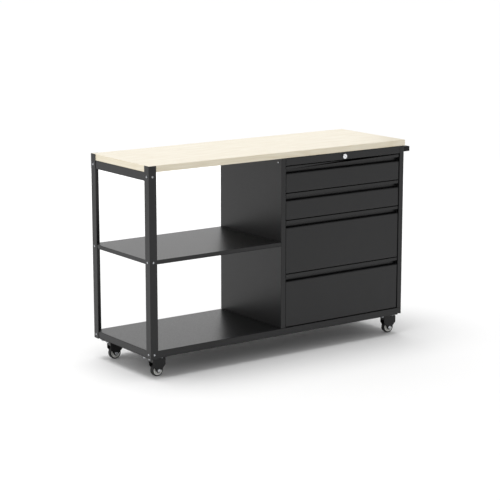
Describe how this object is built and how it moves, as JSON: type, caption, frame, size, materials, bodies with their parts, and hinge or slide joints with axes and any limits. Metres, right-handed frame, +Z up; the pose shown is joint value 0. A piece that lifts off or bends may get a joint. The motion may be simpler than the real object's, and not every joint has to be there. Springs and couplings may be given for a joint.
{
  "type": "workbench with drawers",
  "caption": "Mobile steel workbench with a wood top, open shelves at one end, a cabinet of telescopic drawers at the other, a push handle, a cam lock and swivel casters.",
  "frame": {"origin": "on the floor, under the middle of the whole object's bounding box, which includes the push handle, the bolt heads and the lock", "axes": "+X along the bench from the open shelves to the drawer cabinet and push handle, +Y from the drawer side to the back, +Z up"},
  "size_m": [1.578, 0.5254, 1.004],
  "materials": {
    "wood_top": "clear-coated light hardwood with fine lengthwise grain",
    "powder_coat": "satin black powder coat, fine texture",
    "handle_paint": "satin black powder coat on square tube",
    "caster_steel": "black coated pressed steel",
    "slide_steel": "bright zinc plated rolled steel",
    "zinc_hardware": "bright zinc plate",
    "lock_chrome": "polished chrome plate",
    "wheel_plastic": "light grey moulded nylon",
    "tyre_rubber": "matte black rubber tread"
  },
  "bodies": {
    "bench": {"worktop": "wood_top", "worktop_screws": "zinc_hardware", "post_front_left": "powder_coat", "post_rear_left": "powder_coat", "end_rail": "powder_coat", "mid_shelf": "powder_coat", "base_shelf": "powder_coat", "caster_channels": "powder_coat", "cabinet_left_side": "powder_coat", "cabinet_right_side": "powder_coat", "cabinet_back": "powder_coat", "cabinet_top_rail": "powder_coat", "slide_uprights": "powder_coat", "frame_bolts": "zinc_hardware", "frame_nuts": "zinc_hardware", "push_handle": "handle_paint", "handle_bolts": "zinc_hardware", "lock_body": "lock_chrome", "lock_nut": "zinc_hardware", "slide_outer_1": "slide_steel", "slide_outer_2": "slide_steel", "slide_outer_3": "slide_steel", "slide_outer_4": "slide_steel", "caster_plates": "caster_steel", "caster_bolts": "zinc_hardware", "caster_nuts": "zinc_hardware"},
    "drawer_1": {"drawer_front_1": "powder_coat", "drawer_tray_1": "powder_coat", "slide_inner_1": "slide_steel"},
    "drawer_2": {"drawer_front_2": "powder_coat", "drawer_tray_2": "powder_coat", "slide_inner_2": "slide_steel"},
    "drawer_3": {"drawer_front_3": "powder_coat", "drawer_tray_3": "powder_coat", "slide_inner_3": "slide_steel"},
    "drawer_4": {"drawer_front_4": "powder_coat", "drawer_tray_4": "powder_coat", "slide_inner_4": "slide_steel"},
    "slide_1": {"slide_middle_1": "slide_steel"},
    "slide_2": {"slide_middle_2": "slide_steel"},
    "slide_3": {"slide_middle_3": "slide_steel"},
    "slide_4": {"slide_middle_4": "slide_steel"},
    "lock": {"lock_plug": "lock_chrome", "lock_cam": "zinc_hardware"},
    "caster_1": {"caster_fork_1": "caster_steel", "axle_1": "zinc_hardware"},
    "wheel_1": {"wheel_core_1": "wheel_plastic", "tyre_1": "tyre_rubber"},
    "caster_2": {"caster_fork_2": "caster_steel", "axle_2": "zinc_hardware"},
    "wheel_2": {"wheel_core_2": "wheel_plastic", "tyre_2": "tyre_rubber"},
    "caster_3": {"caster_fork_3": "caster_steel", "axle_3": "zinc_hardware"},
    "wheel_3": {"wheel_core_3": "wheel_plastic", "tyre_3": "tyre_rubber"},
    "caster_4": {"caster_fork_4": "caster_steel", "axle_4": "zinc_hardware"},
    "wheel_4": {"wheel_core_4": "wheel_plastic", "tyre_4": "tyre_rubber"}
  },
  "joints": [
    {"name": "drawer_1_slide", "type": "slide", "parent": "bench", "child": "drawer_1", "axis": [0, -1, 0], "range_m": [0, 0.43]},
    {"name": "drawer_2_slide", "type": "slide", "parent": "bench", "child": "drawer_2", "axis": [0, -1, 0], "range_m": [0, 0.43]},
    {"name": "drawer_3_slide", "type": "slide", "parent": "bench", "child": "drawer_3", "axis": [0, -1, 0], "range_m": [0, 0.43]},
    {"name": "drawer_4_slide", "type": "slide", "parent": "bench", "child": "drawer_4", "axis": [0, -1, 0], "range_m": [0, 0.43]},
    {"name": "slide_1_run", "type": "slide", "parent": "bench", "child": "slide_1", "axis": [0, -1, 0], "range_m": [0, 0.215]},
    {"name": "slide_2_run", "type": "slide", "parent": "bench", "child": "slide_2", "axis": [0, -1, 0], "range_m": [0, 0.215]},
    {"name": "slide_3_run", "type": "slide", "parent": "bench", "child": "slide_3", "axis": [0, -1, 0], "range_m": [0, 0.215]},
    {"name": "slide_4_run", "type": "slide", "parent": "bench", "child": "slide_4", "axis": [0, -1, 0], "range_m": [0, 0.215]},
    {"name": "lock_turn", "type": "hinge", "parent": "bench", "child": "lock", "pos_m": [0.3465, -0.25475, 0.95375], "axis": [0, 1, 0], "range_deg": [0, 90]},
    {"name": "caster_1_swivel", "type": "hinge", "parent": "bench", "child": "caster_1", "pos_m": [-0.731, -0.18975, 0.0945], "axis": [0, 0, 1], "continuous": true},
    {"name": "wheel_1_roll", "type": "hinge", "parent": "caster_1", "child": "wheel_1", "pos_m": [-0.714, -0.18975, 0.029], "axis": [0, 1, 0], "continuous": true},
    {"name": "caster_2_swivel", "type": "hinge", "parent": "bench", "child": "caster_2", "pos_m": [-0.731, 0.19225, 0.0945], "axis": [0, 0, 1], "continuous": true},
    {"name": "wheel_2_roll", "type": "hinge", "parent": "caster_2", "child": "wheel_2", "pos_m": [-0.71404, 0.19106, 0.029], "axis": [0.0698, 0.9976, 0], "continuous": true},
    {"name": "caster_3_swivel", "type": "hinge", "parent": "bench", "child": "caster_3", "pos_m": [0.676, -0.18975, 0.0945], "axis": [0, 0, 1], "continuous": true},
    {"name": "wheel_3_roll", "type": "hinge", "parent": "caster_3", "child": "wheel_3", "pos_m": [0.69291, -0.19153, 0.029], "axis": [0.1045, 0.9945, 0], "continuous": true},
    {"name": "caster_4_swivel", "type": "hinge", "parent": "bench", "child": "caster_4", "pos_m": [0.676, 0.19225, 0.0945], "axis": [0, 0, 1], "continuous": true},
    {"name": "wheel_4_roll", "type": "hinge", "parent": "caster_4", "child": "wheel_4", "pos_m": [0.69153, 0.19916, 0.029], "axis": [-0.4067, 0.9135, 0], "continuous": true}
  ],
  "couplings": [
    {"joint": "slide_1_run", "follows": "drawer_1_slide", "ratio": 0.5},
    {"joint": "slide_2_run", "follows": "drawer_2_slide", "ratio": 0.5},
    {"joint": "slide_3_run", "follows": "drawer_3_slide", "ratio": 0.5},
    {"joint": "slide_4_run", "follows": "drawer_4_slide", "ratio": 0.5}
  ]
}
